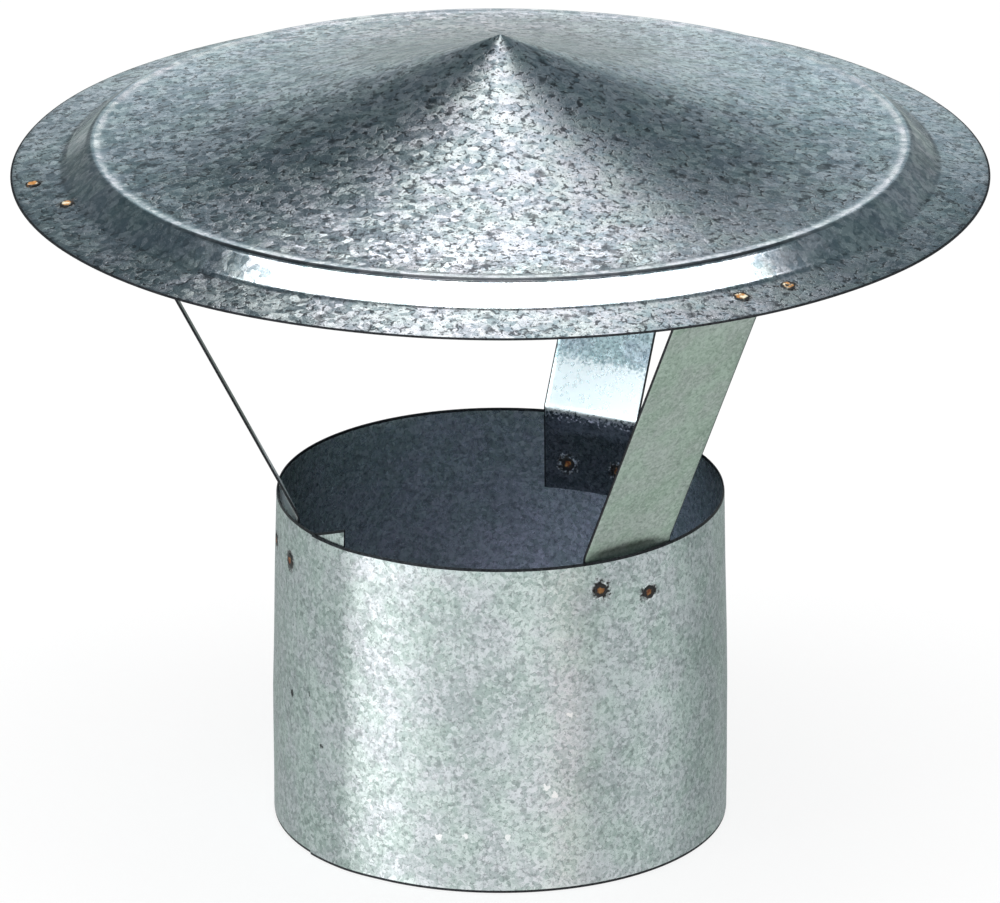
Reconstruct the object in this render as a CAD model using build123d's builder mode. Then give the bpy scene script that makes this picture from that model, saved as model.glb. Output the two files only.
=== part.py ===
from build123d import *

import os
from math import cos, degrees, radians, sin, sqrt, tan
from typing import NamedTuple

# Chimney rain cap in galvanised sheet steel: a pressed hood held over a rolled collar by three
# flat straps, each spot-welded at both ends. Millimetres, +Z up. The origin is on the axis, at
# the collar's bottom edge, and azimuths run from +X towards +Y.

# Sheets
collar_sheet = 0.6
hood_sheet = 0.6
strap_sheet = 0.8

# Collar: a straight socket that slips over the flue, drawn in a little from there to its rim
flue_diameter = 150.0
slip_gap = 0.3
collar_height = 114.0
socket_depth = 45.0
rim_draw_in = 1.5

# Lap seam of the collar. Its inner end is cut askew, so one corner stands proud of the rim.
lap_azimuth = 226.5
lap_width = 15.7
lap_gap = 0.1
joggle_width = 6.0
corner_rise = 5.9

# Hood, sized on its upper face: raw edge, brim, step, raised bead, hollow flank, blunt tip.
# The flank follows one arc in a few conical facets.
outlet_height = 112.2
hood_radius = 160.7
brim_width = 17.4
brim_angle = 9.7
step_width = 8.4
step_height = 7.5
bead_width = 3.5
bead_rise = 0.3
flank_rise = 36.2
tip_angle = 25.5
tip_radius = 0.9
flank_facets = 3

# Straps: a flat strip with a curved tab inside the collar and a shorter one under the brim
strap_width = 35.0
strap_bend = 1.5
seat_gap = 0.02
rim_clearance = 0.1
bend_above_rim = 1.5
flat_below_rim = 1.0
lower_tab_flare = 7.0
lower_tab_length = 28.0
upper_bend_inset = 14.0
upper_tab_flat = 5.0
upper_tab_inset = 5.0

# Spot welds, placed in from the edge of the sheet and from the edges of the strap
weld_radius = 2.5
weld_crown = 0.25
weld_crown_slope = 0.9
weld_sides = 6
weld_margin = 8.1
collar_weld_inset = 15.0
hood_weld_inset = 12.0


class Stray(NamedTuple):
    """How far a pair of hand-set welds strays from its nominal place: across the strap, apart,
    in from the sheet's edge, and how much further in the second one lies than the first."""
    shift: float = 0.0
    spread: float = 0.0
    inset: float = 0.0
    slant: float = 0.0


class StrapPlace(NamedTuple):
    """Where a strap stands round the axis, and how its welds to collar and brim stray."""
    azimuth: float
    collar_stray: Stray
    hood_stray: Stray


strap_places = {
    "left": StrapPlace(191.5, Stray(shift=3.8, inset=0.2), Stray(0.0, 5.9, -1.3, 7.2)),
    "right": StrapPlace(305.5, Stray(-2.8, 0.0, -2.5, 4.8), Stray(shift=-3.0, spread=-0.7)),
    "back": StrapPlace(64.5, Stray(inset=3.5), Stray()),
}

# Collar sizes that follow
socket_radius = flue_diameter / 2 + slip_gap
rim_radius = socket_radius - rim_draw_in
lap_shift = collar_sheet + lap_gap
lap_angle = degrees(lap_width / socket_radius)
joggle_angle = degrees(joggle_width / socket_radius)
flap_azimuth = lap_azimuth - lap_angle

# Hood sizes that follow
foot_radius = hood_radius - brim_width
crest_radius = foot_radius - step_width
valley_radius = crest_radius - bead_width
brim_slope = tan(radians(brim_angle))
edge_height = collar_height + outlet_height
foot_height = edge_height + brim_slope * brim_width
crest_height = foot_height + step_height
valley_height = crest_height - bead_rise
apex_height = valley_height + flank_rise

# Strap sizes that follow: at the rim the flat strip is a chord of the collar's bore
chord_distance = sqrt(rim_radius**2 - (strap_width / 2)**2) - rim_clearance
upper_bend_radius = foot_radius - upper_bend_inset
upper_flat_radius = upper_bend_radius + upper_tab_flat
upper_tab_end = hood_radius - upper_tab_inset
weld_depth = seat_gap + strap_sheet


def outward(azimuth):
    """The level unit vector that points away from the axis at that azimuth."""
    return Vector(cos(radians(azimuth)), sin(radians(azimuth)), 0)


def upright_plane(azimuth):
    """The upright plane through the axis: local x runs outwards, local y runs up."""
    out = outward(azimuth)
    return Plane(origin=(0, 0, 0), x_dir=out, z_dir=(out.Y, -out.X, 0))


def collar_bore(height):
    """The collar's inner radius at a height: straight in the socket, then drawn in to the rim."""
    above_socket = max(0.0, height - socket_depth)
    return socket_radius - rim_draw_in * above_socket / (collar_height - socket_depth)


def brim_underside(radius):
    """The height of the brim's lower face at a distance from the axis, also inside its foot."""
    upper_face = edge_height + brim_slope * (hood_radius - radius)
    return upper_face - hood_sheet / cos(radians(brim_angle))


def strap_top(radius):
    """The height of a strap's upper face where it runs along under the brim."""
    return brim_underside(radius) - seat_gap


def bore_plane(azimuth, height, distance):
    """The level plane with its origin at a distance from the axis: local y runs outwards."""
    out = outward(azimuth)
    return Plane(origin=out * distance + Vector(0, 0, height), x_dir=(out.Y, -out.X, 0))


def brim_plane(azimuth, radius):
    """The plane square to the brim's slope, its origin on the strap's upper face: local y is
    normal to the brim and runs up."""
    out = outward(azimuth)
    origin = out * radius + Vector(0, 0, strap_top(radius))
    return Plane(origin=origin, x_dir=(-out.Y, out.X, 0), z_dir=out - Vector(0, 0, brim_slope))


def strap_section(plane, bend_radius=None):
    """The strap's section on a plane, its seating face through the plane's origin, flat or bent
    round a centre that lies on the far side from local y."""
    with BuildSketch(plane) as section:
        if bend_radius is None:
            Rectangle(strap_width, strap_sheet, align=(Align.CENTER, Align.MAX))
        else:
            with Locations((0, -bend_radius)):
                Circle(bend_radius)
                Circle(bend_radius - strap_sheet, mode=Mode.SUBTRACT)
            Rectangle(strap_width, strap_width, mode=Mode.INTERSECT)
    return section.sketch


def wall_section(azimuth, shift=0.0, rise=0.0):
    """The collar's wall cut by the upright plane at that azimuth, moved out by the shift and
    carried on past the rim by the rise."""
    heights = [0, socket_depth, collar_height + rise]
    inner = [(collar_bore(height) + shift, height) for height in heights]
    outer = [(radius + collar_sheet, height) for radius, height in reversed(inner)]
    with BuildSketch(upright_plane(azimuth)) as section:
        with BuildLine():
            Polyline(inner + outer, close=True)
        make_face()
    return section.sketch


def pair_offsets(inset, stray):
    """Each weld's place in a pair: across the strap, and inwards from the sheet's edge."""
    pitch = strap_width - 2 * weld_margin + stray.spread
    return [
        (stray.shift + side * pitch / 2, inset + stray.inset + side * stray.slant / 2)
        for side in (-1, 1)
    ]


def collar_weld_planes(place):
    """Planes of a strap's welds to the collar, on the collar's bore and facing outwards."""
    planes = []
    for across, inset in pair_offsets(collar_weld_inset, place.collar_stray):
        height = collar_height - inset
        bore = collar_bore(height)
        out = outward(place.azimuth + degrees(across / bore))
        planes.append(Plane(origin=out * bore + Vector(0, 0, height), z_dir=out))
    return planes


def hood_weld_planes(place):
    """Planes of a strap's welds to the brim, on the brim's lower face and facing up."""
    planes = []
    for across, inset in pair_offsets(hood_weld_inset, place.hood_stray):
        radius = hood_radius - inset
        out = outward(place.azimuth + degrees(across / radius))
        origin = out * radius + Vector(0, 0, brim_underside(radius))
        planes.append(Plane(origin=origin, z_dir=out * brim_slope + Vector(0, 0, 1)))
    return planes


def weld_section(plane):
    """A weld's outline on a plane: a circle drawn with few sides, as the welds are small."""
    with BuildSketch(plane) as section:
        RegularPolygon(weld_radius, weld_sides)
    return section.sketch


def cut_weld_seats(planes, above, below):
    """Cuts the seat of each weld through the sheets that meet at its plane."""
    for plane in planes:
        seat = weld_section(plane.offset(-below - weld_crown))
        extrude(seat, amount=below + above + 2 * weld_crown, mode=Mode.SUBTRACT)


def add_welds(welds, planes, above, below):
    """Adds a weld nugget at each plane: a disc through both sheets, crowned on each face. The
    crown falls away over its slope's width down to the sheet."""
    for plane in planes:
        foot = weld_section(plane.offset(-below - weld_crown))
        extrude(foot, amount=below + above + 2 * weld_crown)
    for end in welds.faces().group_by(SortBy.AREA)[-1]:
        chamfer(end.edges(), length=weld_crown_slope, length2=weld_crown, reference=end)


def save(part, name):
    """Labels a finished piece and writes it as its own file."""
    part.label = name
    export_step(part, f"parts/{name}.step")


os.makedirs("parts", exist_ok=True)

# Hood: one pressed sheet, from the blunt tip down to the raw edge of the brim
with BuildPart() as hood:
    with BuildSketch(Plane.XZ):
        with BuildLine():
            tip = Line((0, apex_height), (tip_radius, apex_height))
            valley = (valley_radius, valley_height)
            downhill = (cos(radians(tip_angle)), -sin(radians(tip_angle)))
            hollow = TangentArc(tip @ 1, valley, tangent=downhill, mode=Mode.PRIVATE)
            Polyline([hollow @ (i / flank_facets) for i in range(flank_facets + 1)])
            Polyline(
                valley,
                (crest_radius, crest_height),
                (foot_radius, foot_height),
                (hood_radius, edge_height),
            )
            offset(amount=hood_sheet, side=Side.RIGHT, kind=Kind.INTERSECTION)
        make_face()
    revolve(axis=Axis.Z)
    for place in strap_places.values():
        cut_weld_seats(hood_weld_planes(place), above=hood_sheet, below=0)
save(hood.part, "hood")

# Collar: one rolled sheet whose outer flap steps over the inner end of the lap
with BuildPart() as collar:
    # Inner end of the lap, its top cut askew from the rim up to the proud corner
    revolve(wall_section(flap_azimuth, rise=corner_rise), axis=Axis.Z, revolution_arc=lap_angle)
    low_end = outward(flap_azimuth) * rim_radius + Vector(0, 0, collar_height)
    high_end = outward(lap_azimuth) * rim_radius + Vector(0, 0, collar_height + corner_rise)
    slope = high_end - low_end
    skew_cut = Plane(low_end, x_dir=slope, z_dir=outward(flap_azimuth).cross(slope))
    split(bisect_by=skew_cut, keep=Keep.BOTTOM)
    # Wall, from the joggle round to the inner end
    wall_start = wall_section(lap_azimuth + joggle_angle)
    revolve(wall_start, axis=Axis.Z, revolution_arc=360 - joggle_angle - lap_angle)
    # Joggle that carries the wall out by a sheet, and the flap beyond it
    loft([wall_start, wall_section(lap_azimuth, shift=lap_shift)], ruled=True)
    revolve(wall_section(flap_azimuth, shift=lap_shift), axis=Axis.Z, revolution_arc=lap_angle)
    for place in strap_places.values():
        cut_weld_seats(collar_weld_planes(place), above=collar_sheet, below=0)
save(collar.part, "collar")

for side, place in strap_places.items():
    # Strap: a flat strip bent above the rim and again under the bead
    with BuildPart() as strap:
        with BuildSketch(upright_plane(place.azimuth)):
            with BuildLine():
                strip_face = chord_distance - strap_sheet
                FilletPolyline(
                    (strip_face, collar_height - flat_below_rim),
                    (strip_face, collar_height + bend_above_rim),
                    (upper_bend_radius, strap_top(upper_bend_radius)),
                    (upper_flat_radius, strap_top(upper_flat_radius)),
                    radius=strap_bend + strap_sheet,
                )
                offset(amount=strap_sheet, side=Side.RIGHT)
            make_face()
        extrude(amount=strap_width / 2, both=True)
        # Lower tab, formed to the bore and flattened into the strip just below the rim
        lower_flat = bore_plane(place.azimuth, collar_height - flat_below_rim, chord_distance)
        lower_sections = [strap_section(lower_flat)]
        for height in (collar_height - lower_tab_flare, collar_height - lower_tab_length):
            tab_face = collar_bore(height) - seat_gap
            level = bore_plane(place.azimuth, height, tab_face)
            lower_sections.append(strap_section(level, bend_radius=tab_face))
        loft(lower_sections, ruled=True)
        # Upper tab, eased from flat to the brim's cone and seated on it out to the tab's end
        upper_sections = [strap_section(brim_plane(place.azimuth, upper_flat_radius))]
        for radius in (foot_radius, upper_tab_end):
            cone_radius = radius / sin(radians(brim_angle))
            square = brim_plane(place.azimuth, radius)
            upper_sections.append(strap_section(square, bend_radius=cone_radius))
        loft(upper_sections, ruled=True)
        for planes in (collar_weld_planes(place), hood_weld_planes(place)):
            cut_weld_seats(planes, above=0, below=weld_depth)
    save(strap.part, f"strap_{side}")

    with BuildPart() as collar_welds:
        planes = collar_weld_planes(place)
        add_welds(collar_welds, planes, above=collar_sheet, below=weld_depth)
    save(collar_welds.part, f"collar_welds_{side}")

    with BuildPart() as hood_welds:
        planes = hood_weld_planes(place)
        add_welds(hood_welds, planes, above=hood_sheet, below=weld_depth)
    save(hood_welds.part, f"hood_welds_{side}")
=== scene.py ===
from math import cos, hypot, pi, radians, sin, tan

import bmesh
import bpy
import numpy as np
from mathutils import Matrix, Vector


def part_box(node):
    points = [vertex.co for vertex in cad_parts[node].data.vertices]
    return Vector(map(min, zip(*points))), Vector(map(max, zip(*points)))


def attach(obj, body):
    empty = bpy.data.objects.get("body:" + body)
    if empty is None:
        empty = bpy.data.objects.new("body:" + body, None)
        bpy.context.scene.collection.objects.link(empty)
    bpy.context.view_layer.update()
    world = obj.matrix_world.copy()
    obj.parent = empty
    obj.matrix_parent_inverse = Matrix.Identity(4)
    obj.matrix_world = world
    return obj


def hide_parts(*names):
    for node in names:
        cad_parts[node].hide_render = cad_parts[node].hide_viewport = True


# Chimney rain cap in galvanised sheet steel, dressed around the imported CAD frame. Metres, +Z up,
# the origin on the axis at the collar's bottom edge. Azimuths run from +X towards +Y.

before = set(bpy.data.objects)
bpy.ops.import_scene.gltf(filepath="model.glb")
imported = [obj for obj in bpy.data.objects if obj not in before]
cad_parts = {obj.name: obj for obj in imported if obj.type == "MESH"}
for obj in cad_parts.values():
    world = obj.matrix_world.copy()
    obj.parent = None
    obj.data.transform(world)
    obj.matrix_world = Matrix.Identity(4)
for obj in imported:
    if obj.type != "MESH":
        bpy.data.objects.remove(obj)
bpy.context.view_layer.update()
mm = 0.001

# Sheets
hood_sheet = 0.6 * mm
collar_sheet = 0.6 * mm
strap_sheet = 0.8 * mm
burr = 0.5 * mm
hood_burr = 0.7 * mm
# The collar's edge band is wider than the others: its dark bare steel is partly a painted shade
# line along the rim.
collar_edge_and_rim_shade = 0.9 * mm

# Hood: its radius and its top come from the frame, its pressed steps from these widths. The
# bead is a low rise with a flat crest at the foot of the flank.
hood_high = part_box("hood")[1]
hood_radius = hood_high.x
apex_height = hood_high.z
crest_depth = 35.9 * mm
bead_rise = 0.13 * mm
bead_width = 2.2 * mm
crest_width = 2.0 * mm
step_height = 7.5 * mm
step_width = 8.4 * mm
brim_width = 17.4 * mm
brim_slope = tan(radians(9.7))
tip_angle = radians(25.5)
tip_width = 1.2 * mm
bend_width = 3.1 * mm
crest_height = apex_height - crest_depth
valley_height = crest_height - bead_rise
foot_height = crest_height - step_height
edge_height = foot_height - brim_slope * brim_width
foot_radius = hood_radius - brim_width
crest_radius = foot_radius - step_width
bead_radius = crest_radius - crest_width
valley_radius = bead_radius - bead_width

# Collar: a straight socket, drawn in from there to the rim, closed by a lap seam whose outer
# flap is joggled over the inner end. The inner end's corner stands above the rim.
socket_radius = 75.3 * mm
rim_height = 114.0 * mm
socket_depth = 45.0 * mm
rim_draw_in = 1.5 * mm
lap_azimuth = radians(226.5)
lap_angle = 15.7 * mm / socket_radius
joggle_angle = 18.0 * mm / socket_radius
lap_gap = 0.1 * mm
lap_shift = collar_sheet + lap_gap
corner_rise = 5.9 * mm
bottom_lift = 0.003 * mm
rim_radius = socket_radius - rim_draw_in
flap_azimuth = lap_azimuth - lap_angle

# Straps: azimuths and the bends along each strip
strap_azimuths = {"left": 191.5, "right": 305.5, "back": 64.5}
strap_width = 35.0 * mm
seat_gap = 0.02 * mm
strap_bend = 2.0 * mm
rim_clearance = 0.1 * mm
chord_distance = (rim_radius**2 - (strap_width / 2) ** 2) ** 0.5 - rim_clearance
lower_tab_end = rim_height - 28.0 * mm
lower_tab_flare = rim_height - 7.0 * mm
lower_flat = rim_height - 1.0 * mm
bend_height = rim_height + 1.5 * mm
upper_bend_radius = foot_radius - 14.0 * mm
upper_flat_radius = upper_bend_radius + 5.0 * mm
upper_tab_end = hood_radius - 5.0 * mm

# Spot welds
weld_span = 6.0 * mm
weld_radius = 2.35 * mm
crown_rise = 0.25 * mm
crown_limit = 0.24 * mm

# Mesh making
merge_gap = 1e-7
smooth_below = radians(50)


def object_from_grid(name, points, materials, closed_u, closed_v, caps=False, cut=()):
    """One mesh object from a grid of points: point (i, j) is joined to its neighbours i + 1 and
    j + 1 by four-sided faces, round again from the last to the first where a way is closed. Caps
    join the first and the last row's points j and -1 - j. Caps, and the faces that follow the
    cut columns, take the second material. Coinciding points are merged."""
    rows, columns = points.shape[:2]
    index = np.arange(rows * columns).reshape(rows, columns)
    across = np.hstack([index, index[:, :1]]) if closed_v else index
    around = np.vstack([across, across[:1]]) if closed_u else across
    quads = np.stack([around[:-1, :-1], around[1:, :-1], around[1:, 1:], around[:-1, 1:]], -1)
    slots = np.zeros(quads.shape[:2], int)
    slots[:, list(cut)] = 1
    quads = [quads.reshape(-1, 4)]
    if caps:
        half = columns // 2
        for row, turn in ((index[0], 1), (index[-1], -1)):
            back = row[::-1]
            cap = [row[:half - 1], row[1:half], back[1:half], back[:half - 1]]
            quads.append(np.stack(cap[::turn], -1))
    mesh = bpy.data.meshes.new(name)
    mesh.from_pydata(points.reshape(-1, 3).tolist(), [], np.vstack(quads).tolist())
    slots = np.pad(slots.ravel(), (0, len(mesh.polygons) - slots.size), constant_values=1)
    mesh.polygons.foreach_set("material_index", slots)
    for material in materials:
        mesh.materials.append(material)
    work = bmesh.new()
    work.from_mesh(mesh)
    bmesh.ops.remove_doubles(work, verts=work.verts, dist=merge_gap)
    bmesh.ops.recalc_face_normals(work, faces=work.faces)
    work.to_mesh(mesh)
    work.free()
    mesh.shade_smooth()
    mesh.set_sharp_from_angle(angle=smooth_below)
    made = bpy.data.objects.new(name, mesh)
    bpy.context.scene.collection.objects.link(made)
    return made


def dress(piece, slot, *nodes):
    """The piece stands for those CAD nodes and rides on the one body. Its slot is not used."""
    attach(piece, "root")
    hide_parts(*nodes)


def eased_path(corners, width, step=0.1 * mm):
    """A bent sheet's path through its corners, a step apart: straight runs, and at each corner
    the mean of the path over the width, which rounds it."""
    corners = np.asarray(corners, float)
    runs = np.hypot(*np.diff(corners, axis=0).T)
    reach = np.concatenate([[0], np.cumsum(runs)])
    along = np.linspace(0, reach[-1], int(reach[-1] / step) + 1)
    path = np.stack([np.interp(along, reach, corners[:, k]) for k in (0, 1)], -1)
    half = max(1, int(width / step / 2))
    before = 2 * path[0] - path[half:0:-1]
    after = 2 * path[-1] - path[-2:-half - 2:-1]
    long = np.vstack([before, path, after])
    kernel = np.full(2 * half + 1, 1 / (2 * half + 1))
    return np.stack([np.convolve(long[:, k], kernel, "valid") for k in (0, 1)], -1)


def path_reach(path):
    """The distance along a path of each of its points."""
    return np.concatenate([[0], np.cumsum(np.hypot(*np.diff(path, axis=0).T))])


def sheet(name, material, surface, u, v, low, high, edge=burr):
    """A closed thin sheet between two offsets from a surface: surface(u, v) gives its points for
    whole arrays. Each point moves along the surface's normal, the cross product of its slopes
    along u and v, and the raw edges are broken by an edge width, given in the same unit as v."""
    v_side = np.concatenate([[v[0], v[0] + edge], v[1:-1], [v[-1] - edge, v[-1]]])
    middle = (low + high) / 2
    top = np.full(v_side.size, float(high))
    top[[0, -1]] = (middle + high) / 2
    bottom = 2 * middle - top
    v_loop = np.concatenate([v_side, v_side[::-1]])
    offset = np.concatenate([top, bottom[::-1]])
    grid_u, grid_v = np.meshgrid(u, v_loop, indexing="ij")
    small = 1e-5
    along_u = surface(grid_u + small, grid_v) - surface(grid_u - small, grid_v)
    along_v = surface(grid_u, grid_v + small) - surface(grid_u, grid_v - small)
    normal = np.cross(along_u, along_v)
    normal /= np.linalg.norm(normal, axis=-1, keepdims=True)
    points = surface(grid_u, grid_v) + normal * offset[None, :, None]
    turn = v_side.size
    cut = [0, turn - 2, turn - 1, turn, 2 * turn - 2, 2 * turn - 1]
    materials = [material, cut_steel]
    return object_from_grid(name, points, materials, False, True, caps=True, cut=cut)


def brim_underside(radius):
    """The height of the brim's lower face at a distance from the axis, also inside its foot."""
    upper_face = edge_height + brim_slope * (hood_radius - radius)
    return upper_face - hood_sheet * hypot(1, brim_slope)


def collar_bore(height):
    """The collar's inner radius at a height: straight in the socket, then drawn in to the rim."""
    above_socket = np.maximum(0, height - socket_depth)
    return socket_radius - rim_draw_in * above_socket / (rim_height - socket_depth)


# Materials

def linear(code):
    """A colour written as sRGB hex, as the linear values that a shader takes."""
    values = [int(code[i:i + 2], 16) / 255 for i in (0, 2, 4)]
    return tuple(v / 12.92 if v < 0.04045 else ((v + 0.055) / 1.055) ** 2.4 for v in values)


def colour(code):
    """The same with full opacity, for a colour socket."""
    return (*linear(code), 1)


def add(tree, kind, inputs, out=0, **settings):
    """Adds one shader node and returns one of its outputs. Inputs go by name or number, each a
    value or another node's output."""
    made = tree.nodes.new("ShaderNode" + kind)
    for key, value in settings.items():
        setattr(made, key, value)
    for key, value in inputs.items():
        if isinstance(value, bpy.types.NodeSocket):
            tree.links.new(value, made.inputs[key])
        else:
            made.inputs[key].default_value = value
    return made.outputs[out]


def new_material(name):
    """An empty node material and its tree."""
    made = bpy.data.materials.new(name)
    made.use_nodes = True
    made.node_tree.nodes.clear()
    return made, made.node_tree


def nearest_spot(tree, place, spots):
    """The distance from a place to the nearest of the given spots."""
    nearest = None
    for spot in spots:
        gap = add(tree, "VectorMath", {0: place, 1: spot}, out="Value", operation="DISTANCE")
        if nearest is not None:
            gap = add(tree, "Math", {0: nearest, 1: gap}, operation="MINIMUM")
        nearest = gap
    return nearest


def shake(tree, noise, reach):
    """A random colour turned into a small vector, up to half the reach each way."""
    centred = add(tree, "VectorMath", {0: noise, 1: (0.5, 0.5, 0.5)}, operation="SUBTRACT")
    return add(tree, "VectorMath", {0: centred, "Scale": reach}, operation="SCALE")


def ragged_place(tree, place, reach):
    """A place shaken by fine noise, up to about half the reach each way, for a ragged outline."""
    noise = add(tree, "TexNoise", {"Vector": place, "Scale": 900.0, "Detail": 2.0}, out="Color")
    return add(tree, "VectorMath", {0: place, 1: shake(tree, noise, reach)}, operation="ADD")


def zinc_tint(tree, place, dark, light, cell, frost, flake):
    """The zinc's own colour: each flake's tone, the frost's grain and slow clouds between the
    dark and the light colour, with a slight drift from green to violet across the sheet."""
    cloud = add(tree, "TexNoise", {"Vector": place, "Scale": 0.05 / flake, "Detail": 5.0})
    cell_tone = add(tree, "SeparateColor", {0: cell}, out="Red")
    tone = add(tree, "Math", {0: cell_tone, 1: 0.45}, operation="MULTIPLY")
    tone = add(tree, "Math", {0: frost, 1: 1.2, 2: tone}, operation="MULTIPLY_ADD")
    tone = add(tree, "Math", {0: cloud, 1: 0.7, 2: tone}, operation="MULTIPLY_ADD")
    spread = {"Value": tone, "From Min": 0.85, "From Max": 1.5}
    tone = add(tree, "MapRange", spread, interpolation_type="SMOOTHSTEP")
    mix = {0: tone, 6: colour(dark), 7: colour(light)}
    base = add(tree, "Mix", mix, out=2, data_type="RGBA")
    hue = add(tree, "TexNoise", {"Vector": place, "Scale": 90.0, "Detail": 3.0})
    hue = add(tree, "MapRange", {"Value": hue, "From Min": 0.4, "From Max": 0.6})
    hue = {0: hue, 6: (0.965, 1.005, 0.985, 1), 7: (1.02, 0.99, 1.03, 1)}
    hue = add(tree, "Mix", hue, out=2, data_type="RGBA")
    return add(tree, "VectorMath", {0: base, 1: hue}, operation="MULTIPLY")


def dark_marks(tree, place, warped, flake, pit):
    """Where the zinc is marked dark: broken lines along the flakes' edges, pits and blots."""
    border = {"Vector": warped, "Scale": 1 / flake}
    border = add(tree, "TexVoronoi", border, out="Distance", feature="DISTANCE_TO_EDGE")
    line = {"Value": border, "From Min": 0.16, "From Max": 0.04}
    line = add(tree, "MapRange", line, interpolation_type="SMOOTHSTEP")
    broken = add(tree, "TexNoise", {"Vector": place, "Scale": 1.1 / flake, "Detail": 3.0})
    broken = add(tree, "MapRange", {"Value": broken, "From Min": 0.53, "From Max": 0.6})
    line = add(tree, "Math", {0: line, 1: broken}, operation="MULTIPLY")
    pit = add(tree, "TexNoise", {"Vector": place, "Scale": 1 / pit, "Detail": 2.0})
    pit = add(tree, "MapRange", {"Value": pit, "From Min": 0.62, "From Max": 0.7})
    blot = {"Vector": warped, "Scale": 0.55 / flake, "Detail": 5.0, "Roughness": 0.6}
    blot = add(tree, "TexNoise", blot)
    blot = {"Value": blot, "From Min": 0.56, "From Max": 0.65, "To Max": 0.8}
    blot = add(tree, "MapRange", blot)
    mark = add(tree, "Math", {0: line, 1: pit}, operation="MAXIMUM")
    return add(tree, "Math", {0: mark, 1: blot}, operation="MAXIMUM")


def press_relief_and_painted_shade(tree, place, pressed):
    """By the distance from the axis: the relief that the press left, less from the first radius to
    the last, a painted dark line of shade at the second, only towards the front, and the duller
    sheet outside the last."""
    inner, shade_radius, outer = pressed
    radius = add(tree, "VectorMath", {0: place, 1: (1, 1, 0)}, operation="MULTIPLY")
    radius = add(tree, "VectorMath", {0: radius}, out="Value", operation="LENGTH")
    rough_in = {"Value": radius, "From Min": inner, "From Max": inner - 2 * mm}
    rough_in = add(tree, "MapRange", rough_in)
    rough_out = {"Value": radius, "From Min": outer - mm, "From Max": outer + mm}
    rough_out = add(tree, "MapRange", rough_out)
    relief = add(tree, "Math", {0: rough_in, 1: rough_out}, operation="MAXIMUM")
    relief = add(tree, "MapRange", {"Value": relief, "To Min": 0.3, "To Max": 1.0})
    # Painted shade: a dark line along the crest, at the hood's front only.
    painted_crest_shade = add(tree, "Math", {0: radius, 1: shade_radius}, operation="SUBTRACT")
    painted_crest_shade = add(tree, "Math", {0: painted_crest_shade}, operation="ABSOLUTE")
    painted_crest_shade = {"Value": painted_crest_shade, "From Min": 1.0 * mm, "From Max": 0.6 * mm, "To Max": 0.9}
    painted_crest_shade = add(tree, "MapRange", painted_crest_shade)
    ahead = add(tree, "SeparateXYZ", {0: place}, out="Y")
    ahead = {"Value": ahead, "From Min": -0.55 * shade_radius, "From Max": -0.8 * shade_radius}
    ahead = add(tree, "MapRange", ahead)
    painted_crest_shade = add(tree, "Math", {0: painted_crest_shade, 1: ahead}, operation="MULTIPLY")
    dulled = add(tree, "MapRange", {"Value": rough_out, "To Min": 1.0, "To Max": 0.94})
    return relief, painted_crest_shade, dulled


def painted_highlight_and_shade(tree, place, bright):
    """A painted white highlight that sets in from the first height to the second, with a ragged
    outline, and ends at the third, and a painted shade, which darkens what lies below the third."""
    upper, lower, end = bright
    height = add(tree, "SeparateXYZ", {0: ragged_place(tree, place, 12 * mm)}, out="Z")
    painted_highlight = {"Value": height, "From Min": upper, "From Max": lower}
    painted_highlight = add(tree, "MapRange", painted_highlight, interpolation_type="SMOOTHSTEP")
    above = add(tree, "MapRange", {"Value": height, "From Min": end - mm, "From Max": end})
    painted_highlight = add(tree, "Math", {0: painted_highlight, 1: above}, operation="MULTIPLY")
    shade = add(tree, "MapRange", {"Value": above, "To Min": 0.3, "To Max": 1.0})
    return painted_highlight, shade


def bloom_and_scorch(tree, place, spots):
    """Round each spot a speckled pale oxide bloom, and nearer to it a ragged scorched patch."""
    gap = nearest_spot(tree, ragged_place(tree, place, 4.5 * mm), spots)
    scorch = {"Value": gap, "From Min": 4.4 * mm, "From Max": 2.7 * mm}
    scorch = add(tree, "MapRange", scorch, interpolation_type="SMOOTHSTEP")
    patchy = add(tree, "TexNoise", {"Vector": place, "Scale": 300.0, "Detail": 3.0})
    patchy = add(tree, "MapRange", {"Value": patchy, "From Min": 0.43, "From Max": 0.5})
    scorch = add(tree, "Math", {0: scorch, 1: patchy}, operation="MULTIPLY")
    speck = add(tree, "TexNoise", {"Vector": place, "Scale": 1100.0, "Detail": 1.0})
    bloom = {"Value": gap, "From Min": 5.5 * mm, "From Max": 3.0 * mm, "To Max": 0.5}
    bloom = add(tree, "MapRange", bloom)
    bloom = add(tree, "Math", {0: bloom, 1: speck}, operation="ADD")
    bloom = add(tree, "MapRange", {"Value": bloom, "From Min": 0.93, "From Max": 1.0})
    return bloom, scorch


def flake_facing(tree, cell, warped, flake, tilt, relief, dip):
    """The normal of the frosted surface: each flake leans its own way, the fine grain leans
    more, and the dips are bumped. Relief, from 0 to 1, scales it all."""
    grain = {"Vector": warped, "Scale": 2.6 / flake, "Detail": 4.0, "Roughness": 0.6}
    grain = add(tree, "TexNoise", grain, out="Color")
    leaning = {0: shake(tree, cell, tilt), 1: shake(tree, grain, tilt * 2.4)}
    leaning = add(tree, "VectorMath", leaning, operation="ADD")
    leaning = add(tree, "VectorMath", {0: leaning, "Scale": relief}, operation="SCALE")
    facing = add(tree, "NewGeometry", {}, out="Normal")
    facing = add(tree, "VectorMath", {0: facing, 1: leaning}, operation="ADD")
    facing = add(tree, "VectorMath", {0: facing}, operation="NORMALIZE")
    strength = add(tree, "Math", {0: relief, 1: 0.3}, operation="MULTIPLY")
    bump = {"Height": dip, "Strength": strength, "Distance": 0.12 * mm, "Normal": facing}
    return add(tree, "Bump", bump)


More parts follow.
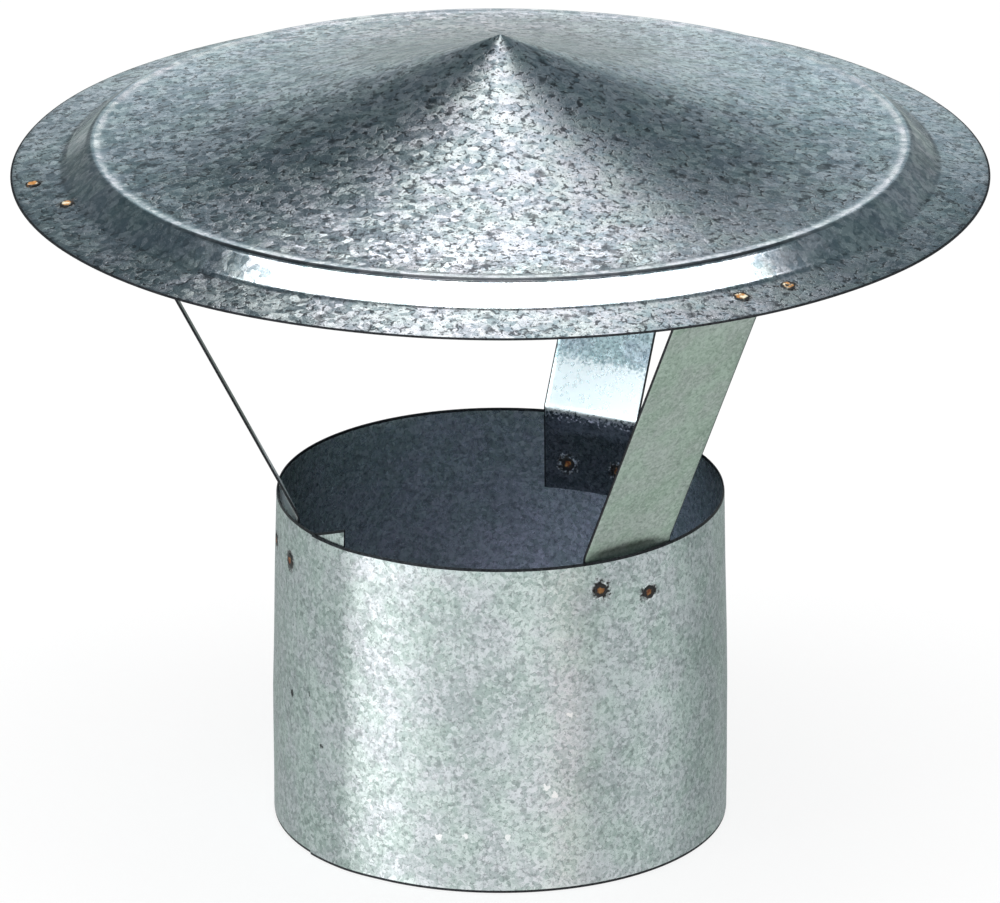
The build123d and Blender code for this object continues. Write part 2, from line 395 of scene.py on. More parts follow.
def zinc(
    name, dark, light, flake, pit, tilt, rough, marks, spots, bright=None, pressed=None,
    nicks=(), flecks=(),
):
    """Hot-dip zinc on steel: frosty mottled grain in spangle flakes about the given size, each
    with its own tone, gloss and slight tilt, broken dark marks along the flakes' edges, pits
    about the given size, clouds of tone across the sheet, and round each spot weld a scorched
    patch with a pale oxide bloom. That gives the eye the broken, frosted glitter of galvanised
    sheet. Rough is the range of roughness, and marks is how strong the dark marks are. Bright
    gives a sheet three heights for a painted white highlight with painted shade below it, and
    pressed gives it three radii for the relief that the press left, a painted dark line of shade
    and a duller sheet outside the last. Nicks are small near-black spots, and flecks white ones."""
    made, tree = new_material(name)
    place = add(tree, "TexCoord", {}, out="Object")
    warp = {"Vector": place, "Scale": 0.6 / flake, "Detail": 3.0}
    warp = shake(tree, add(tree, "TexNoise", warp, out="Color"), 1.3 * flake)
    warped = add(tree, "VectorMath", {0: place, 1: warp}, operation="ADD")
    cell = add(tree, "TexVoronoi", {"Vector": warped, "Scale": 1 / flake}, out="Color")
    cell_gloss = add(tree, "SeparateColor", {0: cell}, out="Green")
    gloss = {"Value": cell_gloss, "To Min": rough[0], "To Max": rough[1]}
    roughness = add(tree, "MapRange", gloss)
    frost = {"Vector": warped, "Scale": 1.4 / flake, "Detail": 7.0, "Roughness": 0.68}
    frost = add(tree, "TexNoise", frost)
    base = zinc_tint(tree, place, dark, light, cell, frost, flake)

    mark = dark_marks(tree, place, warped, flake, pit)
    mark = add(tree, "Math", {0: mark, 1: marks}, operation="MULTIPLY")
    relief = 1.0
    if pressed:
        relief, painted_crest_shade, dulled = press_relief_and_painted_shade(tree, place, pressed)
        mark = add(tree, "Math", {0: mark, 1: relief}, operation="MULTIPLY")
        mark = add(tree, "Math", {0: mark, 1: painted_crest_shade}, operation="MAXIMUM")
        base = add(tree, "VectorMath", {0: base, "Scale": dulled}, operation="SCALE")
    base = {0: mark, 6: base, 7: colour("1F2630")}
    base = add(tree, "Mix", base, out=2, data_type="RGBA")

    # Painted light: a white highlight between the heights in bright, and painted shade below the
    # last of them.
    if bright:
        painted_highlight, shade = painted_highlight_and_shade(tree, place, bright)
        relief = add(tree, "MapRange", {"Value": painted_highlight, "To Min": 1.0, "To Max": 0.0})
        base = add(tree, "VectorMath", {0: base, "Scale": shade}, operation="SCALE")
        base = {0: painted_highlight, 6: base, 7: colour("FFFFFF")}
        base = add(tree, "Mix", base, out=2, data_type="RGBA")

    for spot_places, tone in ((nicks, "14161A"), (flecks, "FFFFFF")):
        if spot_places:
            gap = nearest_spot(tree, ragged_place(tree, place, 2.5 * mm), spot_places)
            # Each spot is painted near-black or white; no dent is modelled.
            dent = {"Value": gap, "From Min": 1.3 * mm, "From Max": 0.9 * mm}
            dent = add(tree, "MapRange", dent)
            base = {0: dent, 6: base, 7: colour(tone)}
            base = add(tree, "Mix", base, out=2, data_type="RGBA")

    bloom, scorch = bloom_and_scorch(tree, place, spots)
    base = {0: bloom, 6: base, 7: colour("EEF2F4")}
    base = add(tree, "Mix", base, out=2, data_type="RGBA")
    base = {0: scorch, 6: base, 7: colour("17120F")}
    base = add(tree, "Mix", base, out=2, data_type="RGBA")
    metallic = add(tree, "MapRange", {"Value": scorch, "To Min": 1.0, "To Max": 0.35})

    dip = add(tree, "Math", {0: frost, 1: mark}, operation="SUBTRACT")
    facing = flake_facing(tree, cell, warped, flake, tilt, relief, dip)
    finish = {
        "Base Color": base, "Metallic": metallic, "Roughness": roughness, "Normal": facing,
    }
    add_output(tree, add(tree, "BsdfPrincipled", finish))
    return made


def add_output(tree, surface):
    """Ends a material's tree with its surface."""
    output = tree.nodes.new("ShaderNodeOutputMaterial")
    tree.links.new(surface, output.inputs["Surface"])


def burnt_weld(name, spots, core, dark, light):
    """A spot weld's face: cream and orange scale where the zinc boiled off, black sooty patches,
    a black ring round each core and a rough, pitted skin. It reads as a small hot burn in the
    pale sheet."""
    made, tree = new_material(name)
    place = add(tree, "TexCoord", {}, out="Object")
    patch = add(tree, "TexNoise", {"Vector": place, "Scale": 420.0, "Detail": 3.0})
    patch = add(tree, "MapRange", {"Value": patch, "From Min": 0.44, "From Max": 0.56})
    scale = {0: patch, 6: colour(dark), 7: colour(light)}
    scale = add(tree, "Mix", scale, out=2, data_type="RGBA")
    soot = {"Vector": place, "Scale": 380.0, "Detail": 3.0, "W": 3.0}
    soot = add(tree, "TexNoise", soot, noise_dimensions="4D")
    soot = add(tree, "MapRange", {"Value": soot, "From Min": 0.53, "From Max": 0.58})
    gap = nearest_spot(tree, ragged_place(tree, place, 2 * mm), spots)
    ring = add(tree, "MapRange", {"Value": gap, "From Min": core, "From Max": core + 0.4 * mm})
    soot = add(tree, "Math", {0: soot, 1: ring}, operation="MAXIMUM")
    base = {0: soot, 6: scale, 7: colour("140E0C")}
    base = add(tree, "Mix", base, out=2, data_type="RGBA")
    pits = add(tree, "TexNoise", {"Vector": place, "Scale": 1500.0, "Detail": 4.0})
    bump = add(tree, "Bump", {"Height": pits, "Strength": 0.8, "Distance": 0.2 * mm})
    finish = {"Base Color": base, "Metallic": 0.0, "Roughness": 0.5, "Normal": bump}
    add_output(tree, add(tree, "BsdfPrincipled", finish))
    return made


def sheared_edge():
    """The raw edge of a sheared sheet: bare dark steel, torn into fine streaks. It draws a thin
    dark line round every sheet."""
    made, tree = new_material("sheared steel edge")
    place = add(tree, "TexCoord", {}, out="Object")
    tear = add(tree, "TexNoise", {"Vector": place, "Scale": 1300.0, "Detail": 4.0})
    tear = add(tree, "MapRange", {"Value": tear, "From Min": 0.35, "From Max": 0.7})
    base = {0: tear, 6: colour("101216"), 7: colour("3A3C40")}
    base = add(tree, "Mix", base, out=2, data_type="RGBA")
    bump = add(tree, "Bump", {"Height": tear, "Strength": 0.5, "Distance": 0.08 * mm})
    finish = {"Base Color": base, "Metallic": 0.7, "Roughness": 0.5, "Normal": bump}
    add_output(tree, add(tree, "BsdfPrincipled", finish))
    return made


def weld_spots(node):
    """The centre, the axis and the thickness of each weld solid in a CAD node. Each solid's
    corners lie within weld_span of each other, and its axis is the way in which they spread
    least."""
    corners = np.array([v.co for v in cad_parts[node].data.vertices])
    gaps = np.linalg.norm(corners[:, None] - corners[None], axis=-1)
    group = (gaps < weld_span).argmax(axis=1)
    spots = []
    for first in np.unique(group):
        own = corners[group == first]
        centre = own.mean(axis=0)
        axis = np.linalg.svd(own - centre)[2][-1]
        thickness = np.ptp((own - centre) @ axis)
        spots.append((centre, axis, thickness))
    return spots


def centres(*nodes):
    """The centres of all the welds in those nodes."""
    return [tuple(spot[0]) for node in nodes for spot in weld_spots(node)]


def on_collar(*spots):
    """Places on the collar's outside, given by the angle from the front, rightwards, and the
    height in millimetres."""
    places = []
    for turn, height in spots:
        radius = collar_bore(height * mm) + collar_sheet
        across = radius * sin(radians(turn))
        places.append((across, -radius * cos(radians(turn)), height * mm))
    return places


hood_weld_nodes = [f"hood_welds_{side}" for side in strap_azimuths]
collar_weld_nodes = [f"collar_welds_{side}" for side in strap_azimuths]
hood_spots = centres(*hood_weld_nodes)
collar_spots = centres(*collar_weld_nodes)
# The painted dark shade line on the hood lies just inside the crest.
painted_shade_radius = crest_radius - 0.6 * mm
hood_zinc = zinc(
    "spangled zinc", "A4B5BD", "F6FBFE",
    flake=2.7 * mm, pit=1.1 * mm, tilt=0.05, rough=(0.13, 0.22), marks=0.85,
    spots=hood_spots, pressed=(valley_radius, painted_shade_radius, foot_radius),
)
collar_zinc = zinc(
    "fine spangled zinc", "B2BEBB", "E4EAEA",
    flake=1.5 * mm, pit=0.6 * mm, tilt=0.05, rough=(0.22, 0.34), marks=0.4,
    spots=collar_spots,
    nicks=on_collar((-65.7, 53), (-55.8, 57), (-50.3, 41), (-85, 8)),
    flecks=on_collar((11.5, 37), (13.6, 34), (-15.5, 19), (-8.7, 20), (1.8, 20), (17.6, 62)),
)
strap_zinc = zinc(
    "dull zinc strip", "93A296", "AEBBB1",
    flake=1.2 * mm, pit=0.6 * mm, tilt=0.05, rough=(0.42, 0.52), marks=0.25,
    spots=collar_spots + hood_spots,
)
# The back strap: the strip's zinc painted lighter and made glossier, with a painted white
# highlight on its lower part and painted shade below the rim.
back_strap_zinc_painted_light = zinc(
    "zinc strip with painted highlight and shade", "98A8AD", "D6E0E3",
    flake=1.2 * mm, pit=0.8 * mm, tilt=0.05, rough=(0.25, 0.35), marks=0.5,
    spots=collar_spots + hood_spots, bright=(133 * mm, 129 * mm, rim_height),
)
# The left strap: a brown-grey copy of the strip's zinc, with a painted white highlight on its
# lower part and painted shade from 12 mm under the rim down.
left_zinc = zinc(
    "brown zinc strip with painted highlight and shade", "6A6258", "AEBBB1",
    flake=1.2 * mm, pit=0.6 * mm, tilt=0.05, rough=(0.42, 0.52), marks=0.25,
    spots=collar_spots + hood_spots, bright=(142 * mm, 132 * mm, rim_height - 12 * mm),
)
hood_burn = burnt_weld("pale burnt weld", hood_spots, 1.7 * mm, "D08F48", "FFF4D6")
collar_burn = burnt_weld("dark burnt weld", collar_spots, 1.2 * mm, "8C4A24", "D0965A")
cut_steel = sheared_edge()


# Hood

def hood_profile():
    """The hood's upper face from tip to raw edge: a hollow flank on one arc, a raised bead with
    a flat crest, a step and a brim, with every bend eased over the same width. It is mirrored
    across the axis and eased again over a small width, so that the tip is round."""
    run = valley_radius
    end_angle = 2 * np.arctan2(apex_height - valley_height, run) - tip_angle
    angles = np.linspace(tip_angle, end_angle, 60)
    arc_radius = run / (sin(tip_angle) - sin(end_angle))
    radius = arc_radius * (sin(tip_angle) - np.sin(angles))
    height = apex_height - arc_radius * (np.cos(angles) - cos(tip_angle))
    flank = np.stack([radius, height], -1)
    rest = [
        (bead_radius, crest_height), (crest_radius, crest_height), (foot_radius, foot_height),
        (hood_radius, edge_height),
    ]
    half = eased_path(np.vstack([flank, rest]), bend_width)
    path = eased_path(np.vstack([half[:0:-1] * (-1, 1), half]), tip_width)
    return path[path[:, 0] >= -1e-9]


def hood_stations(path):
    """Points along the hood's profile: wide apart on the flank, close in the bends."""
    reach = path_reach(path)
    valley = np.interp(valley_radius - 3 * mm, path[:, 0], reach)
    foot = np.interp(foot_radius + 3 * mm, path[:, 0], reach)
    tip = 4 * mm
    stations = np.concatenate([
        np.linspace(0, tip, 10)[:-1],
        np.linspace(tip, valley, 36)[:-1],
        np.linspace(valley, foot, 64)[:-1],
        np.linspace(foot, reach[-1] - hood_burr, 10),
        [reach[-1]],
    ])
    return np.stack([np.interp(stations, reach, path[:, k]) for k in (0, 1)], -1)


def build_hood():
    """The pressed hood: its section loop, upper face out and lower face back, turned round the
    axis. A slow unevenness of a tenth of a millimetre or so moves both faces together."""
    top = hood_stations(hood_profile())
    slope = np.gradient(top, axis=0)
    slope /= np.hypot(slope[:, 0], slope[:, 1])[:, None]
    normal = np.stack([-slope[:, 1], slope[:, 0]], -1)
    normal[0] = (0, 1)
    depth = np.full(len(top), hood_sheet)
    depth[-1] = hood_sheet * 0.75
    bottom = top - normal * depth[:, None]
    top[-1] -= normal[-1] * hood_sheet * 0.25
    loop = np.vstack([top, bottom[::-1]])
    angle = np.linspace(0, 2 * pi, 400, endpoint=False)
    radius, height = loop[:, 0][None], loop[:, 1][None]
    turn = angle[:, None]
    share = radius / hood_radius
    wave = 0.12 * mm * share**2 * (np.sin(3 * turn + 0.7) + 0.6 * np.sin(7 * turn + 2.1))
    ripple = 0.05 * mm * share * np.sin(11 * turn + 9 * share + 1.3)
    height = height + (wave + ripple - 0.25 * mm * share) * share
    points = np.stack([radius * np.cos(turn), radius * np.sin(turn), height + 0 * turn], -1)
    last = len(top) - 1
    hood = object_from_grid(
        "hood_pressing", points, [hood_zinc, cut_steel], True, True, cut=[last - 1, last, last + 1]
    )
    dress(hood, "galvanised_sheet", "hood")


# Collar

def collar_surface(turn, share):
    """The middle of the collar's wall: turn is the azimuth along the rolled sheet, from the
    flap's free edge round to the inner end of the lap, and share runs from the bottom edge to
    the rim, which climbs askew along the inner end."""
    climb = np.clip((turn - flap_azimuth - 2 * pi) / lap_angle, 0, 1)
    height = share * (rim_height + corner_rise * climb)
    out = np.clip((lap_azimuth + joggle_angle - turn) / joggle_angle, 0, 1)
    step = lap_shift * out * out * (3 - 2 * out)
    dent = 0.10 * mm * np.sin(2 * turn + 0.4) * np.sin(pi * share)
    dent += 0.05 * mm * np.sin(5 * turn + 14 * share)
    radius = collar_bore(height) + collar_sheet / 2 + step + dent
    return np.stack([radius * np.cos(turn), radius * np.sin(turn), height], -1)


def build_collar():
    """The rolled collar, one strip whose flap laps over its own inner end."""
    seam = np.linspace(flap_azimuth, lap_azimuth + joggle_angle, 40)
    wall = np.linspace(seam[-1], flap_azimuth + 2 * pi, 330)
    lap = np.linspace(wall[-1], lap_azimuth + 2 * pi, 24)
    turns = np.concatenate([seam, wall[1:], lap[1:]])
    heights = np.linspace(bottom_lift / rim_height, 1, 27)
    half = collar_sheet / 2
    edge = collar_edge_and_rim_shade / rim_height
    collar = sheet("rolled_collar", collar_zinc, collar_surface, turns, heights, -half, half, edge)
    dress(collar, "galvanised_sheet", "collar")


# Straps

def strap_path():
    """A strap's inner and upper face in its upright plane: up the bore, over the rim, straight
    up to the hood and out under the brim."""
    def under(radius):
        return radius, brim_underside(radius) - seat_gap

    strip = chord_distance - strap_sheet
    return eased_path([
        (collar_bore(lower_tab_end) - seat_gap - strap_sheet, lower_tab_end),
        (collar_bore(lower_tab_flare) - seat_gap - strap_sheet, lower_tab_flare),
        (strip, lower_flat),
        (strip, bend_height),
        under(upper_bend_radius),
        under(upper_flat_radius),
        under(foot_radius),
        under(upper_tab_end),
    ], strap_bend)


def build_strap(side, azimuth):
    """A strap: its path swept across its width, bowed to the bore at the lower tab and dropped
    with the cone of the brim at the upper one."""
    path = strap_path()
    reach = path_reach(path)
    out = np.array([cos(azimuth), sin(azimuth), 0])
    sideways = np.array([-sin(azimuth), cos(azimuth), 0])
    rise = np.array([0, 0, 1])

    def surface(along, across):
        radius = np.interp(along, reach, path[:, 0])
        height = np.interp(along, reach, path[:, 1])
        in_bore = np.clip((lower_flat - height) / (lower_flat - lower_tab_flare), 0, 1)
        bow = np.sqrt(radius**2 - across**2) - radius
        on_brim = np.clip((radius - upper_flat_radius) / (foot_radius - upper_flat_radius), 0, 1)
        drop = brim_underside(np.hypot(radius, across)) - brim_underside(radius)
        return (
            (radius + bow * in_bore)[..., None] * out
            + across[..., None] * sideways
            + (height + drop * on_brim)[..., None] * rise
        )

    straight_from = np.interp(bend_height + 3 * mm, path[:, 1], reach)
    straight_to = reach[-1] - (upper_tab_end - upper_bend_radius) - 4 * mm
    stations = np.concatenate([
        np.linspace(0, straight_from, 44)[:-1],
        np.linspace(straight_from, straight_to, 20)[:-1],
        np.linspace(straight_to, reach[-1], 50),
    ])
    widths = np.linspace(-strap_width / 2, strap_width / 2, 19)
    name = f"{side}_strap"
    finish = {"left": left_zinc, "right": strap_zinc, "back": back_strap_zinc_painted_light}[side]
    strap = sheet(name, finish, surface, stations, widths, -strap_sheet, 0)
    dress(strap, "galvanised_strip", f"strap_{side}")


# Spot welds

def weld_points(centre, axis, thickness, seed):
    """One weld nugget: a ragged button whose faces rise to a ring and dip to a crater. Its
    radius is the outline times the sine of the polar angle to a power, and each face's height
    rises with the square of that sine and falls with its sixth power. The outline and the ring
    are shaken by a few waves with seeded phases."""
    phases = np.random.default_rng(seed).uniform(0, 2 * pi, 6)
    turn, across = np.meshgrid(
        np.linspace(0, 2 * pi, 40, endpoint=False), np.linspace(0, 1, 23), indexing="ij"
    )
    polar = pi * across
    wave = 0.07 * np.sin(2 * turn + phases[0]) + 0.06 * np.sin(3 * turn + phases[1])
    edge = weld_radius * (1 + wave) * (1 + 0.03 * np.sin(7 * turn + phases[2]))
    spread = np.sin(polar) ** 0.7
    radius = edge * spread
    crown = crown_rise * (0.35 + 1.3 * spread**2 - 1.65 * spread**6)
    crown += 0.05 * mm * np.sin(4 * turn + phases[3]) * spread * (1 - spread)
    crown = np.minimum(crown, crown_limit)
    height = np.sign(np.cos(polar)) * (thickness / 2 - crown_rise + crown)
    height = np.where(np.abs(np.cos(polar)) < 1e-6, 0, height)
    axis = axis / np.linalg.norm(axis)
    first = np.cross(axis, (0, 0, 1) if abs(axis[2]) < 0.9 else (1, 0, 0))
    first /= np.linalg.norm(first)
    second = np.cross(axis, first)
    return (
        centre
        + (radius * np.cos(turn))[..., None] * first
        + (radius * np.sin(turn))[..., None] * second
        + height[..., None] * axis
    )


def build_welds(node, burn, seed):
    """All the welds of one CAD node, as one piece."""
    pieces = []
    for count, (centre, axis, thickness) in enumerate(weld_spots(node)):
        points = weld_points(centre, axis, thickness, seed + count)
        pieces.append(
            object_from_grid(f"{node}_marks", points, [burn], closed_u=True, closed_v=False)
        )
    with bpy.context.temp_override(active_object=pieces[0], selected_editable_objects=pieces):
        bpy.ops.object.join()
    pieces[0].name = f"{node}_marks"
    dress(pieces[0], "spot_weld", node)


build_hood()
build_collar()
for side, azimuth in strap_azimuths.items():
    build_strap(side, radians(azimuth))
for seed, node in enumerate([*hood_weld_nodes, *collar_weld_nodes]):
    build_welds(node, hood_burn if node in hood_weld_nodes else collar_burn, 10 * seed)


# Floor, world and lights

# The reflected strip of wall by height, from straight down, 0, to straight up, 1
strip_levels = [
    (0.0, 0.4), (0.5, 0.6), (0.57, 0.65), (0.588, 1.2), (0.685, 1.15), (0.7, 0.15),
    (0.745, 0.15), (0.758, 1.4), (0.785, 1.75), (0.797, 2.3), (0.804, 2.1), (0.813, 1.05),
    (0.825, 0.9), (0.85, 1.25), (0.965, 1.25), (0.98, 0.14), (1.0, 0.14),
]
strip_narrowing = [(0.0, 1.0), (0.71, 1.0), (0.775, 0.48), (0.84, 0.22), (1.0, 0.2)]

# The reflected walls by height, their far ends, their front and the window in it
wall_levels = [
    (0.0, 0.7), (0.508, 0.72), (0.528, 0.58), (0.56, 0.65), (0.615, 0.84), (0.64, 0.64),
    (0.665, 0.46), (0.7, 0.45), (0.719, 0.14), (0.745, 0.12), (0.78, 0.12), (1.0, 0.12),
]
far_level = 0.15
front_level = 0.75
window_way = (-0.70, -0.53, 0.48)
window_level = 3.6

# The awning overhead, and how far its back edge bows to the back at its ends
awning_level = 4.0
awning_bow = 0.65

# The reflected floor by azimuth, the left 0, the front 0.25, the right 0.5 and behind 0.75, and
# the warm band on it
floor_levels = [
    (0.0, 0.54), (0.03, 0.68), (0.06, 1.15), (0.086, 1.62), (0.12, 1.2), (0.16, 0.95),
    (0.225, 0.86), (0.32, 0.92), (0.38, 0.64), (0.417, 0.64), (0.486, 0.76), (0.575, 0.45),
    (0.75, 0.4), (0.864, 0.52), (0.964, 0.66), (1.0, 0.54),
]
warm_band = [(0, 0), (0.32, 0), (0.346, 1), (0.372, 0), (1, 0)]


def ramp(tree, value, *stops):
    """A grey level that follows a value along straight runs between the given stops."""
    made = tree.nodes.new("ShaderNodeFloatCurve")
    tree.links.new(value, made.inputs["Value"])
    curve = made.mapping.curves[0]
    for place, level in stops[1:-1]:
        curve.points.new(place, level)
    for point, stop in zip((curve.points[0], curve.points[-1]), (stops[0], stops[-1])):
        point.location = stop
    for point in curve.points:
        point.handle_type = "VECTOR"
    made.mapping.update()
    return made.outputs["Value"]


def background_rays(tree):
    """1 where the camera, a reflection or a refraction sees this surface, else 0."""
    total = add(tree, "LightPath", {}, out="Is Camera Ray")
    for kind in ("Is Glossy Ray", "Is Transmission Ray"):
        ray = add(tree, "LightPath", {}, out=kind)
        total = add(tree, "Math", {0: total, 1: ray}, operation="MAXIMUM")
    return total


def build_floor():
    """A pale floor that reads white and keeps a soft shadow."""
    made, tree = new_material("pale studio floor")
    glow = add(tree, "Math", {0: background_rays(tree), 1: 0.8}, operation="MULTIPLY")
    shine = add(tree, "Emission", {"Color": colour("FFFFFF"), "Strength": glow})
    matt = add(tree, "BsdfDiffuse", {"Color": (0.25, 0.25, 0.25, 1)})
    add_output(tree, add(tree, "AddShader", {0: shine, 1: matt}))
    mesh = bpy.data.meshes.new("studio_floor")
    size = 6.0
    turns = ((-1, -1), (1, -1), (1, 1), (-1, 1))
    corners = [(size * x, size * y, -0.1 * mm) for x, y in turns]
    mesh.from_pydata(corners, [], [(0, 1, 2, 3)])
    mesh.materials.append(made)
    floor = bpy.data.objects.new("studio_floor", mesh)
    bpy.context.scene.collection.objects.link(floor)
    floor.visible_glossy = False


def build_painted_shade_disc():
    """A dark disc on the floor inside the collar, where a real one opens on a flue: painted shade.
    In reflections it glows dimly, brighter at its left, a painted pool of light."""
    made, tree = new_material("painted shade disc")
    place = add(tree, "TexCoord", {}, out="Object")
    place = add(tree, "SeparateXYZ", {0: place}, out="X")
    # Painted light: in reflections the disc glows more at its left than at its right.
    side = {"Value": place, "From Min": -0.07, "From Max": 0.07, "To Min": 2.5, "To Max": 0.45}
    side = add(tree, "MapRange", side)
    glow = add(tree, "Emission", {"Color": colour("5C606F"), "Strength": side})
    matt = add(tree, "BsdfDiffuse", {"Color": colour("2A303C")})
    mirrored = add(tree, "LightPath", {}, out="Is Glossy Ray")
    add_output(tree, add(tree, "MixShader", {0: mirrored, 1: matt, 2: glow}))
    radius, turn = np.meshgrid([0.0, socket_radius], np.linspace(0, 2 * pi, 65), indexing="ij")
    points = np.stack([radius * np.cos(turn), radius * np.sin(turn), 0 * turn - 0.05 * mm], -1)
    disc = object_from_grid("painted_shade_disc", points, [made], closed_u=False, closed_v=False)


def strip_share(tree, across, depth, height):
    """How much of a direction is the strip of wall behind the object: it is soft at its sides,
    and its width follows the height."""
    aside = add(tree, "Math", {0: across}, operation="ABSOLUTE")
    narrowing = ramp(tree, height, *strip_narrowing)
    place = add(tree, "Math", {0: aside, 1: narrowing}, operation="MULTIPLY")
    edge = {"Value": place, "From Min": 0.052, "From Max": 0.008}
    inside = add(tree, "MapRange", edge, interpolation_type="SMOOTHSTEP")
    behind = add(tree, "MapRange", {"Value": depth, "From Min": -0.1, "From Max": 0.1})
    return add(tree, "Math", {0: inside, 1: behind}, operation="MULTIPLY")


def wall_colours(tree, way, across, depth, lift, height):
    """The walls: a tone by height, darker to both sides and brighter to the right, even at the
    front, where the bright window hangs, and bluer on the way up."""
    tone = ramp(tree, height, *wall_levels)
    aside = add(tree, "Math", {0: across}, operation="ABSOLUTE")
    far = {"Value": aside, "From Min": 0.09, "From Max": 0.22, "To Max": 0.9}
    far = add(tree, "MapRange", far)
    tone = add(tree, "Mix", {0: far, 2: tone, 3: far_level})
    lean = {"Value": across, "From Min": -0.15, "From Max": 0.15, "To Min": 0.86, "To Max": 1.1}
    lean = add(tree, "MapRange", lean)
    tone = add(tree, "Math", {0: tone, 1: lean}, operation="MULTIPLY")
    front = add(tree, "MapRange", {"Value": depth, "From Min": -0.1, "From Max": -0.4})
    tone = add(tree, "Mix", {0: front, 2: tone, 3: front_level})
    window = {0: way, 1: window_way}
    window = add(tree, "VectorMath", window, out="Value", operation="DOT_PRODUCT")
    window = add(tree, "MapRange", {"Value": window, "From Min": 0.86, "From Max": 0.95})
    tone = add(tree, "Mix", {0: window, 2: tone, 3: window_level})
    up = add(tree, "MapRange", {"Value": lift, "From Min": 0.15, "From Max": 0.5})
    tint = {0: up, 6: (0.88, 1.0, 1.04, 1), 7: (0.8, 1.0, 1.08, 1)}
    tint = add(tree, "Mix", tint, out=2, data_type="RGBA")
    return add(tree, "VectorMath", {0: tint, "Scale": tone}, operation="SCALE")


def awning_share(tree, across, depth, lift):
    """How much of a direction is the awning. It hangs level above the object, so its outline is
    drawn where the direction meets a plane at height 1."""
    level = add(tree, "Math", {0: lift, 1: 0.2}, operation="MAXIMUM")
    over_x = add(tree, "Math", {0: across, 1: level}, operation="DIVIDE")
    over_y = add(tree, "Math", {0: depth, 1: level}, operation="DIVIDE")
    bow = add(tree, "Math", {0: over_x, 1: 2.0}, operation="POWER")
    bow = add(tree, "Math", {0: bow, 1: -awning_bow, 2: over_y}, operation="MULTIPLY_ADD")
    back_edge = add(tree, "MapRange", {"Value": bow, "From Min": -0.02, "From Max": -0.08})
    near_edge = add(tree, "MapRange", {"Value": over_y, "From Min": -0.62, "From Max": -0.5})
    end = add(tree, "Math", {0: over_x, 1: 0.02}, operation="SUBTRACT")
    end = add(tree, "Math", {0: end}, operation="ABSOLUTE")
    end = add(tree, "MapRange", {"Value": end, "From Min": 0.81, "From Max": 0.68})
    awning = add(tree, "Math", {0: back_edge, 1: near_edge}, operation="MULTIPLY")
    return add(tree, "Math", {0: awning, 1: end}, operation="MULTIPLY")


def floor_colours(tree, way, lift):
    """The reflected floor: a level by azimuth, brighter near the object, greenish where it is
    dim, and a warm band at the right front."""
    round_way = add(tree, "TexGradient", {"Vector": way}, out="Fac", gradient_type="RADIAL")
    pool = ramp(tree, round_way, *floor_levels)
    near = {"Value": lift, "From Min": -0.5, "From Max": -0.8, "To Min": 1.0, "To Max": 1.7}
    near = add(tree, "MapRange", near)
    pool = add(tree, "Math", {0: pool, 1: near}, operation="MULTIPLY")
    lit = add(tree, "MapRange", {"Value": pool, "From Min": 0.45, "From Max": 1.1})
    tint = {0: lit, 6: (0.9, 1.0, 0.98, 1), 7: (0.99, 1.0, 1.0, 1)}
    tint = add(tree, "Mix", tint, out=2, data_type="RGBA")
    warm = ramp(tree, round_way, *warm_band)
    tint = {0: warm, 6: tint, 7: (1.08, 0.99, 0.97, 1)}
    tint = add(tree, "Mix", tint, out=2, data_type="RGBA")
    return add(tree, "VectorMath", {0: tint, "Scale": pool}, operation="SCALE")


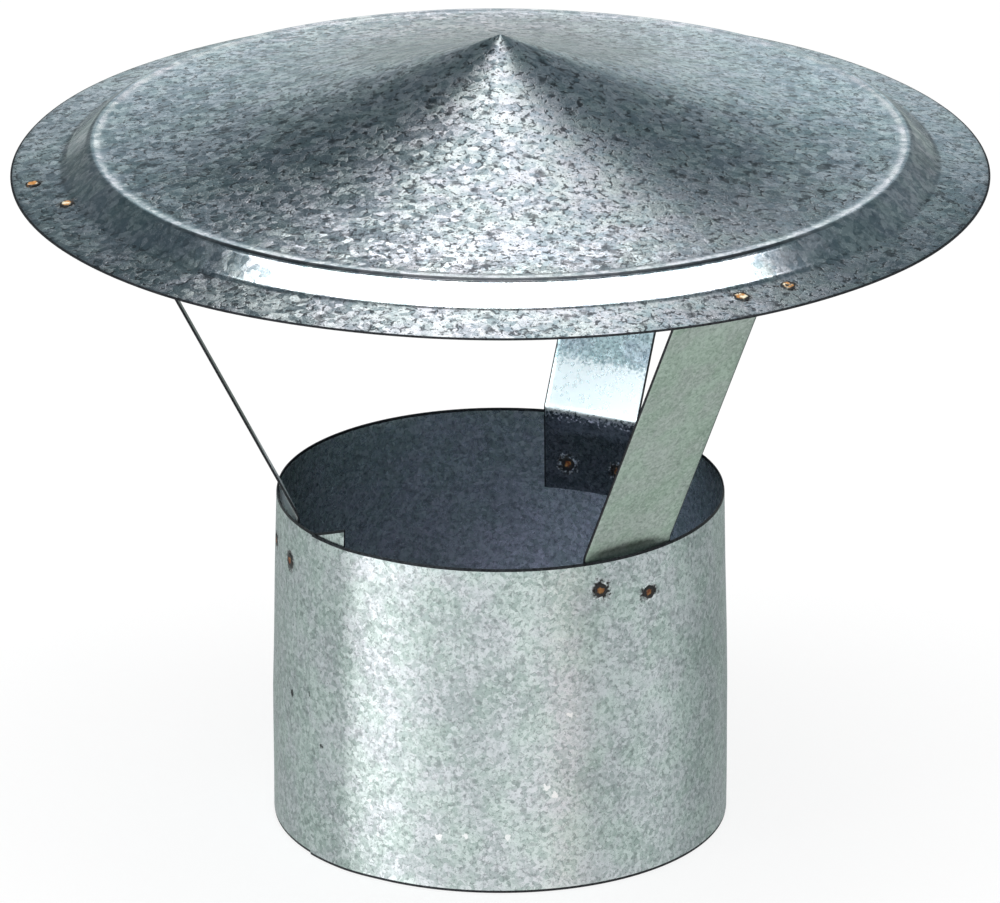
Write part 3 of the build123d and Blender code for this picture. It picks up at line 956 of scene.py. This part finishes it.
def build_world():
    """A white surround where the camera sees it, a soft grey one for the light that it gives,
    and in reflections the studio: cool walls with a white strip behind the object, a bright
    window high at the left front, a long white awning overhead, bowed to the back at its ends,
    and a floor that is lit best at the left front."""
    world = bpy.data.worlds.new("studio")
    bpy.context.scene.world = world
    world.use_nodes = True
    tree = world.node_tree
    tree.nodes.clear()
    way = add(tree, "TexCoord", {}, out="Generated")
    across = add(tree, "SeparateXYZ", {0: way}, out="X")
    depth = add(tree, "SeparateXYZ", {0: way}, out="Y")
    lift = add(tree, "SeparateXYZ", {0: way}, out="Z")
    height = add(tree, "MapRange", {"Value": lift, "From Min": -1.0, "From Max": 1.0})

    walls = wall_colours(tree, way, across, depth, lift, height)
    strip = ramp(tree, height, *strip_levels)
    in_strip = strip_share(tree, across, depth, height)
    walls = add(tree, "Mix", {0: in_strip, 6: walls, 7: strip}, out=2, data_type="RGBA")
    awning = awning_share(tree, across, depth, lift)
    walls = {0: awning, 6: walls, 7: (*[awning_level] * 3, 1)}
    walls = add(tree, "Mix", walls, out=2, data_type="RGBA")
    pool = floor_colours(tree, way, lift)
    below = add(tree, "MapRange", {"Value": lift, "From Min": 0.02, "From Max": -0.04})
    studio = add(tree, "Mix", {0: below, 6: walls, 7: pool}, out=2, data_type="RGBA")

    seen = add(tree, "LightPath", {}, out="Is Camera Ray")
    mirrored = add(tree, "LightPath", {}, out="Is Glossy Ray")
    clear = add(tree, "LightPath", {}, out="Is Transmission Ray")
    mirrored = add(tree, "Math", {0: mirrored, 1: clear}, operation="MAXIMUM")
    plain = add(tree, "MapRange", {"Value": seen, "To Min": 0.5, "To Max": 1.0})
    light = add(tree, "Mix", {0: mirrored, 6: plain, 7: studio}, out=2, data_type="RGBA")
    glow = add(tree, "Background", {"Color": light, "Strength": 1.0})
    output = tree.nodes.new("ShaderNodeOutputWorld")
    tree.links.new(glow, output.inputs["Surface"])


def add_lamp(name, place, aim, width, height, radiance):
    """A soft box of an even radiance at a place in metres, which looks at a point. It lights
    the matt surfaces only: the zinc mirrors the world's studio instead."""
    lamp = bpy.data.lights.new(name, "AREA")
    lamp.shape = "RECTANGLE"
    lamp.size = width
    lamp.size_y = height
    lamp.energy = radiance * pi * width * height
    made = bpy.data.objects.new(name, lamp)
    away = Vector(place) - Vector(aim)
    made.location = place
    made.rotation_euler = away.to_track_quat("Z", "Y").to_euler()
    made.visible_camera = False
    made.visible_glossy = False
    bpy.context.scene.collection.objects.link(made)


def add_camera():
    """The photograph's camera: a long lens, looking down on the cap from the front."""
    camera = bpy.data.cameras.new("camera")
    camera.lens = 369.9
    camera.sensor_width = 36.0
    made = bpy.data.objects.new("camera", camera)
    made.location = (-0.1 * mm, -3.1805, 1.3481)
    made.rotation_euler = (radians(90 - 21.01), 0, 0)
    bpy.context.scene.collection.objects.link(made)
    bpy.context.scene.camera = made


build_floor()
build_painted_shade_disc()
build_world()
add_lamp("key box", (0.0, -0.2, 2.4), (0, 0, 0.15), 4.0, 1.5, 2.0)
add_lamp("left box", (-2.0, -1.5, 0.75), (0, 0, 0.15), 0.7, 1.3, 2.5)
add_camera()
bpy.context.scene.view_settings.view_transform = "Standard"
